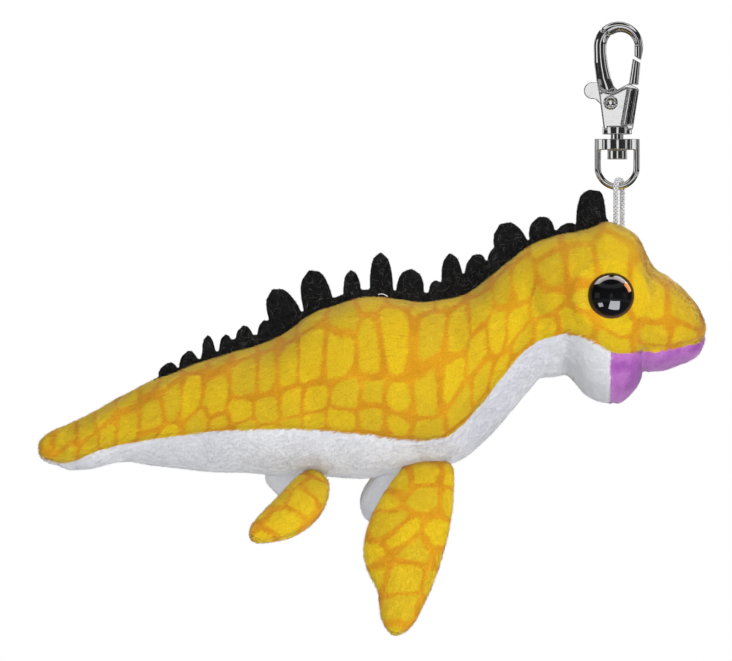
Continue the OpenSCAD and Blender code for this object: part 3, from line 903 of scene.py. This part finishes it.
def make_flipper(name, side):
    """A flipper's two panels, run up into the belly at the root, where its joint is."""
    root = joint_place(name + "_flap")
    panels = (name + "_outer", name + "_inner")
    form = sewn_form(panels, name + "_core")
    open_edges = [e for e in form.edges if e.is_boundary]
    centre = sum((v.co for v in form.verts), Vector()) / len(form.verts)
    down = (centre - root).normalized()
    end = root + down * 5 * MM
    root_edges = [e for e in open_edges if all((v.co - end) @ down < 0 for v in e.verts)]
    inward = (Vector((0, -side * 1.1, 0.75)) - down * 0.25).normalized()
    for reach, shrink in ((1.4 * MM, 0.92), (1.8 * MM, 0.8)):
        made = bmesh.ops.extrude_edge_only(form, edges=root_edges)["geom"]
        verts = [g for g in made if isinstance(g, bmesh.types.BMVert)]
        root_edges = [g for g in made if isinstance(g, bmesh.types.BMEdge) and g.is_boundary]
        join_panels({g for g in made if isinstance(g, bmesh.types.BMFace)})
        middle = sum((v.co for v in verts), Vector()) / len(verts)
        for v in verts:
            v.co = middle + (v.co - middle) * shrink + inward * reach
    close_ends(form)
    put_in_order(form)
    flipper = subdivided(form_object(name + "_form", form), 3)
    mesh = flipper.data
    points, normals = points_of(mesh), normals_of(mesh)
    seam = points[seam_vertices(mesh, {frozenset((0, 1))})]
    to_seam = distances(points, seam)
    give_faces(mesh, seam, 0.9 * MM, *((0, 1) if side < 0 else (1, 0)))
    move = -0.28 * MM * falloff(to_seam, 0.7 * MM)
    move += 0.28 * MM * (1 - falloff(to_seam, 3 * MM)) - 0.1 * MM
    move += 0.1 * MM * noise_at(points, 5 * MM, 2.3) + 0.04 * MM * noise_at(points, 1.4 * MM, 6.1)
    points = points + normals * move[:, None]
    reach = (points - np.array(root)) @ np.array(down)
    points -= np.outer(0.75 * MM * smooth_step(reach.max() - 7 * MM, reach.max(), reach), down)
    set_points(mesh, points)

    across = (Vector((1, 0, 0)) - down * down.x).normalized()
    off = points - np.array(root)
    u, v = off @ np.array(across), off @ np.array(down)
    seed = 11.3 * len(name) + 5.7 * side
    cell = np.stack([u / (7.0 * MM) + seed, v / (6.2 * MM) + 0.12 * np.sin(u / (4 * MM)) + 20, 0 * u], 1)
    attributes = {"cell": cell, "fibre": np.stack([v, u, 0 * u], 1)}
    for index, (node, slot) in enumerate(zip(panels, ("yellow_plush", "white_plush"))):
        piece = panel_piece(name + ("_top_panel", "_under_panel")[index], flipper, index, attributes)
        share = 7000 if name.startswith("front") else 2800
        nap = (down.x - 0.4, down.y, down.z)
        length = (0.75, 0.45)[index] * MM
        hairs = pile(piece.name + "_pile", piece, share, length, BLADE_WIDE, nap, lean=76, seed=29 + index)
        finish_piece(piece, None, slot, FABRIC[slot], node, *((name + "_core",) if index == 0 else ()))
        finish_piece(hairs, None, slot, FABRIC[slot])
        for obj in (piece, hairs):
            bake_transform(obj)
    bpy.data.objects.remove(flipper)


# ---- felt crest
def voxel_form(name, node, voxel, smooths):
    """A CAD node's shape with its edges softened."""
    obj = form_object(name, welded(node))
    remesh = obj.modifiers.new("voxels", "REMESH")
    remesh.mode, remesh.voxel_size, remesh.use_smooth_shade = "VOXEL", voxel, True
    return softened(obj, smooths)


def make_crest(back_x, back_z):
    """Pressed felt: soft cut edges, spikes that lean a little to either side, matted faces."""
    crest = voxel_form("felt_crest", "spine_crest", 0.22 * MM, 7)
    points, normals = points_of(crest.data), normals_of(crest.data)
    above = np.maximum(points[:, 2] - np.interp(points[:, 0], back_x, back_z), 0)
    narrow = 0.45 * MM * smooth_step(0.5 * MM, 3 * MM, above) * np.abs(normals[:, 0])
    narrow *= smooth_step(-71 * MM, -75 * MM, points[:, 0])
    points -= normals * narrow[:, None]

    # the front spike is broad and blunt
    front = points[:, 0] > points[:, 0].max() - 7.5 * MM
    top = points[front, 2].max()
    tip = front & (points[:, 2] > top - 5 * MM)
    middle = (points[tip, 0].max() + points[tip, 0].min()) / 2
    high = smooth_step(top - 3.2 * MM, top - 0.4 * MM, points[tip, 2])
    points[tip, 0] += 0.12 * high * (points[tip, 0] - middle)
    points[tip, 2] -= 0.2 * MM * smooth_step(top - 0.9 * MM, top, points[tip, 2])
    set_points(crest.data, points)
    points = points_of(softened(crest, 4).data)
    x = points[:, 0] / MM
    lean = 0.9 * np.sin(x * 0.42 + 0.6) + 0.5 * np.sin(x * 0.17 + 2)
    points[:, 1] += lean * MM * np.clip(above / (9 * MM), 0, 1.2) ** 1.6
    set_points(crest.data, points)
    normals = normals_of(crest.data)
    rough = 0.07 * MM * noise_at(points, 1.6 * MM, 4.4) + 0.04 * MM * noise_at(points, 0.6 * MM, 8.8)
    set_points(crest.data, points + normals * rough[:, None])
    finish_piece(crest, "plush", "black_felt", FELT, "spine_crest")
    fuzz = pile("felt_fuzz", crest, 9000, 0.26 * MM, 0.06 * MM, (0, 0, 0.2), lean=40, seed=71)
    finish_piece(fuzz, "plush", "black_felt", FELT)
    make_lint(crest)


def make_lint(crest):
    """Fine light fibres that cling to the felt."""
    rng = np.random.default_rng(5)
    points, normals = points_of(crest.data), normals_of(crest.data)
    flat = np.where(np.abs(normals[:, 1]) > 0.8)[0]
    faces = [tuple(f.vertices) for f in crest.data.polygons]
    surface = BVHTree.FromPolygons([tuple(p) for p in points], faces)
    parts = []
    for i in rng.choice(flat, 700):
        spot, heading = Vector(points[i]), rng.random() * 2 * math.pi
        bend = rng.normal() * 0.9
        line = []
        for _ in range(rng.integers(5, 8)):
            hit, normal, _, gap = surface.find_nearest(spot)
            if hit is None or gap > 0.5 * MM:
                break
            line.append(hit + normal * 0.07 * MM)
            heading += bend * 0.35 + rng.normal() * 0.25
            spot = hit + Vector((math.cos(heading), 0, math.sin(heading))) * 0.24 * MM
        if len(line) > 4:
            parts.append(tube(evenly_along(np.array(line), 0.15 * MM), 0.018 * MM, 3))
    lint = mesh_object("felt_lint", *gathered(parts))
    finish_piece(lint, "plush", "black_felt", LINT)


# ---- clasp
def cast(name, node, body, voxel, smooths, shape=None):
    """A die-cast piece: the CAD shape with soft edges, and any sunk or raised detail."""
    piece = voxel_form(name, node, voxel, smooths)
    if shape:
        set_points(piece.data, shape(points_of(piece.data), normals_of(piece.data)))
        softened(piece, 3)
    finish_piece(piece, body, "clasp_chrome", CHROME, node)


def crowned(share, flat=0.3):
    """A rod's half depth, from 1 on its middle line down to flat at its edges."""
    return flat + (1 - flat) * np.sqrt(np.clip(1 - share ** 2, 0, 1))


def hook_detail(points, normals):
    """A rounded rod for arch and leg, which runs out over the plate in an S, and ribs beside the slot.

    The numbers are in millimetres from the frame's origin, the centre of the hook's eye.
    """
    x, _, z = (points / MM).T
    angle = np.arctan2(z, x)
    outer = -0.42 * np.cos(angle) + np.sqrt(5.2 ** 2 - (0.42 * np.sin(angle)) ** 2)
    arch = (np.hypot(x, z) - (outer + 2.96) / 2) / ((outer - 2.96) / 2)
    leg_out = np.interp(z, [-10.1, -6.9, -3.4, 0], [-4.49, -5.09, -5.54, -5.62])
    leg_in = np.interp(z, [-9.8, -8.4, -6.8, -4.2, -1.4, 0], [-0.7, -1.2, -1.99, -2.59, -2.97, -2.96])
    leg = (x - (leg_out + leg_in) / 2) / ((leg_in - leg_out) / 2)
    share = np.where((z > 0) | (x > 0), arch, leg)
    share = np.where((z < 0) & (x > 2.5), (x - 3.8) / 1.1, share)
    rod = 1.9 * crowned(share)
    curve = np.interp(x, [-4.6, -3.9, -3.1, -1.7, -0.7, 0.3, 1.2, 2.2, 4],
                      [-8.2, -8.9, -9.35, -9.65, -9.3, -8.75, -8.35, -8.5, -8.9])
    right = x - np.interp(z, [-16.7, -9.3], [0.15, 1.45])
    plate = np.interp(right, [-0.08, 0.1, 0.34, 0.8, 0.88, 1.75, 1.82, 2.12, 2.2, 2.95],
                      [2.3, 1.8, 2.15, 2.15, 2.0, 1.62, 1.75, 1.75, 1.64, 1.25])
    lip = 0.14 * falloff(z - curve + 0.25, 0.25) * (x < 1.3)
    plate = np.where(z > -16.5, plate + lip, 2.3)
    want = np.where(z > curve, rod, plate)
    edge = np.interp(x, [-4.6, -1.29, -0.59, 0.91, 3.91], [-10.1, -8.8, -9.1, -8.5, -9.0])
    now = np.where(z > edge, 1.9, 2.3)
    points[:, 1] *= np.where(z > -16.75, want / now, 1)
    start, way = np.array([-1.2, 1.75]), np.array([-3.4, 2.15])
    off = np.stack([x, z], 1) - start
    gap = np.abs(off @ np.array([way[1], -way[0]])) / np.hypot(*way)
    cut = 0.3 * MM * falloff(gap, 0.17) * (z > 0.5) * (x < 0)
    return points - normals * cut[:, None]


def gate_detail(points, normals):
    """The gate bar's rounded front; the thumb tab stays flat with soft edges."""
    x, _, z = (points / MM).T
    left = np.interp(z, [-7.9, -2.55], [1.76, 2.56])
    wide = np.interp(z, [-8.1, -3.55], [3.81, 4.21])
    share = (x - (left + wide) / 2) / ((wide - left) / 2)
    bar = (z > -8) & (x > 1)
    points[:, 1] *= np.where(bar, crowned(share, 0.4), 1)
    return points


def make_rivet():
    """The gate's rivet: a rolled head with a dimple on each side, and its shank."""
    low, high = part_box("gate_rivet")
    centre = (low + high) / 2
    head = [(0, 0.10), (0.35, 0.08), (0.72, 0.16), (0.86, 0.34), (1.06, 0.42), (1.32, 0.36), (1.5, 0.2),
            (1.55, 0.02), (1.4, -0.15), (0.8, -0.15), (0.8, -2.2), (0, -2.2)]
    parts = []
    points, faces = turned([(r * MM, h * MM) for r, h in head], 64)
    for side in (-1, 1):
        face = centre + Vector((0, side * (high.y - centre.y - 0.25 * MM), 0))
        parts.append((along_axis(points, face, Vector((0, side, 0))), faces))
    rivet = subdivided(mesh_object("gate_rivet_heads", *gathered(parts)), 1)
    finish_piece(rivet, "hook", "clasp_chrome", CHROME, "gate_rivet")


def make_spring():
    """The gate's torsion spring, four turns of wire round the rivet."""
    low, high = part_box("gate_spring")
    centre, wire = (low + high) / 2, 0.1 * MM
    turn = np.linspace(0, 8 * math.pi, 160)
    radius = (high.x - low.x) / 2 - wire
    y = np.linspace(low.y + wire, high.y - wire, len(turn))
    path = np.stack([centre.x + radius * np.cos(turn), y, centre.z + radius * np.sin(turn)], 1)
    spring = mesh_object("gate_spring_coil", *tube(path, wire, 8))
    finish_piece(spring, "hook", "spring_steel", STEEL, "gate_spring")


def make_clasp():
    cast("clasp_hook", "hook_body", "hook", 0.09 * MM, 5, hook_detail)
    cast("gate_casting", "gate_lever", "gate", 0.09 * MM, 5, gate_detail)
    cast("swivel_stud", "swivel_post", "hook", 0.10 * MM, 6)
    cast("swivel_bow", "swivel_ring", "ring", 0.10 * MM, 5)
    make_rivet()
    make_spring()


# ---- small things
def make_loose_thread(back_x, back_z):
    """The white thread end at the crest's foot, about the middle of the back."""
    x = np.linspace(-50.9, -48.9, 12) * MM
    z = np.interp(x, back_x, back_z) + (0.8 - 0.5 * ((x / MM + 50.1) / 1.3) ** 2) * MM
    path = np.stack([x, np.full(len(x), -1.35 * MM), z], 1)
    thread = mesh_object("loose_thread", *tube(path, 0.1 * MM, 6))
    finish_piece(thread, "plush", "cord_braid", BRAID)


def dress_inner_nodes():
    """What stays hidden inside keeps its CAD shape and gets its own material."""
    dress = {"eye_washer_left": WASHER, "eye_washer_right": WASHER, "cord_knot": BRAID}
    for node, material in dress.items():
        data = frame["nodes"][node].data
        data.materials.clear()
        data.materials.append(material)


# ---- studio
def make_floor():
    """A pale floor that fades to white for the camera, and is dark near and grey far when mirrored."""
    s = Shader("studio_floor")
    grain = s.noise(s.place(), 40, 3.0)
    pale = s.mix(grain, (0.90, 0.90, 0.90), (0.93, 0.93, 0.93))
    rays = s.node("LightPath").outputs
    out = s.vector("LENGTH", s.vector("MULTIPLY", s.place(), (1, 1, 0)))
    far = s.math("MULTIPLY", s.step(out, 0.30, 0.36), s.step(out, 0.95, 0.8))
    table = s.mix(far, (0.04, 0.04, 0.04), (0.34, 0.34, 0.34))
    fade = s.math("MULTIPLY", rays["Is Camera Ray"], s.step(out, 0.15, 0.6))
    s.set(Base_Color=s.mix(rays["Is Glossy Ray"], pale, table), Roughness=0.9, Specular_IOR_Level=0.1,
          Emission_Color=(1.0, 1.0, 1.0), Emission_Strength=fade)
    points, faces = turned([(0, 0), (0.5, 0), (1.6, 0)], 64)
    floor = mesh_object("floor", points + np.array((cad_low.x, 0, cad_low.z - 0.035)), faces)
    floor.data.materials.append(s.material)
    floor.data.flip_normals()


def area_light(name, place, aim, size, power, tint=(1, 1, 1)):
    data = bpy.data.lights.new(name, "AREA")
    data.shape, data.size, data.size_y = "RECTANGLE", *size
    data.energy, data.color = power, tint
    lamp = new_object(name, data)
    lamp.location = place
    lamp.rotation_mode = "QUATERNION"
    lamp.rotation_quaternion = (Vector(aim) - Vector(place)).to_track_quat("-Z", "Y")
    lamp.visible_camera = False
    return lamp


def light_plush():
    """Big soft lights that only light. The shiny parts mirror the world's softboxes."""
    for name, place, size, power in (
            ("key", (-0.35, -0.75, 0.65), (0.5, 0.4), 4.0),
            ("fill", (0.7, -0.7, 0.1), (0.35, 0.5), 4.5),
            ("low", (0.15, -0.8, -0.03), (0.5, 0.12), 2.2),
            ("top", (0.05, -0.1, 0.8), (0.7, 0.5), 3.4),
            ("back", (0.2, 0.8, 0.35), (0.6, 0.4), 5.0)):
        lamp = area_light(name, toy_middle + Vector(place), toy_middle, size, power)
        lamp.visible_glossy = False


def light_eyes():
    """What each eye mirrors: a wide softbox overhead, windows low in front, and a warm lamp."""
    ball = EYE_BALL / MM
    for side, node in EYES:
        lit = bpy.data.collections.new("lit_" + node)
        lit.objects.link(bpy.data.objects["domed_" + node])
        centre, axis = eye_place(node, side)
        centre -= axis * (EYE_BALL - EYE_HIGH)
        for name, x, z, reach, size, strength, tint in (
                ("softbox", -0.2, 4.7, 0.30, (0.62, 0.42), 12, (1.0, 0.88, 0.86)),
                ("window", 0.75, -1.75, 0.12, (0.1, 0.095), 26, (0.92, 0.94, 1.0)),
                ("side_window", -2.1, -1.55, 0.12, (0.045, 0.034), 22, (0.92, 0.94, 1.0)),
                ("far_window", -3.95, -2.0, 0.12, (0.07, 0.1), 22, (0.92, 0.94, 1.0)),
                ("warm_lamp", 3.55, 2.1, 0.12, (0.055, 0.06), 26, (1.0, 0.42, 0.16))):
            normal = Vector((x / ball, side * math.sqrt(1 - (x * x + z * z) / ball ** 2), z / ball))
            view = Vector((0, side, 0))
            way = 2 * normal.dot(view) * normal - view
            power = strength * math.pi * size[0] * size[1]
            lamp = area_light(name + "_" + node, centre + way * reach, centre, size, power, tint)
            lamp.light_linking.receiver_collection = lit


def make_world():
    """A white tent for the camera, and for reflections a ring of softboxes with dark gaps."""
    s = Shader("studio", "worlds", "Background")
    bpy.context.scene.world = s.material
    way = s.node("SeparateXYZ", Vector=s.node("TexCoord").outputs["Generated"]).outputs
    turn = s.math("ARCTAN2", way["X"], s.math("MULTIPLY", way["Y"], -1.0))
    height = way["Z"]
    dark = 0.03
    tone = dark
    softboxes = ((-2.8, -2.3, 0.7), (-1.4, -0.95, 0.85), (-0.08, 0.16, 0.85), (1.05, 1.4, 0.45),
                 (2.0, 2.6, 0.8))
    for low, high, level in softboxes:
        box = s.math("MULTIPLY", s.step(turn, low - 0.05, low + 0.05),
                     s.step(turn, high + 0.05, high - 0.05))
        tone = s.math("MULTIPLY_ADD", box, level, tone)
    tone = s.math("MAXIMUM", s.math("MULTIPLY", tone, s.step(height, 0.34, 0.26)), dark)
    roof = s.math("MULTIPLY", s.step(height, 0.62, 0.7), s.step(height, 0.9, 0.84, 0.0, 0.75))
    tone = s.math("MAXIMUM", tone, roof)
    seen = s.node("LightPath").outputs["Is Camera Ray"]
    mirrored = s.node("CombineColor", Red=tone, Green=tone, Blue=tone).outputs[0]
    s.set(Color=s.mix(seen, mirrored, (1.0, 1.0, 1.0)), Strength=1.0)
    bpy.context.scene.view_settings.view_transform = "Standard"


# ---- the keychain
back_x, back_z = make_body()
make_eyes()
for name, side in (("front_left", -1), ("front_right", 1), ("rear_left", -1), ("rear_right", 1)):
    make_flipper(name, side)
make_crest(back_x, back_z)
make_clasp()
make_loose_thread(back_x, back_z)
dress_inner_nodes()
make_floor()
light_plush()
light_eyes()
make_world()
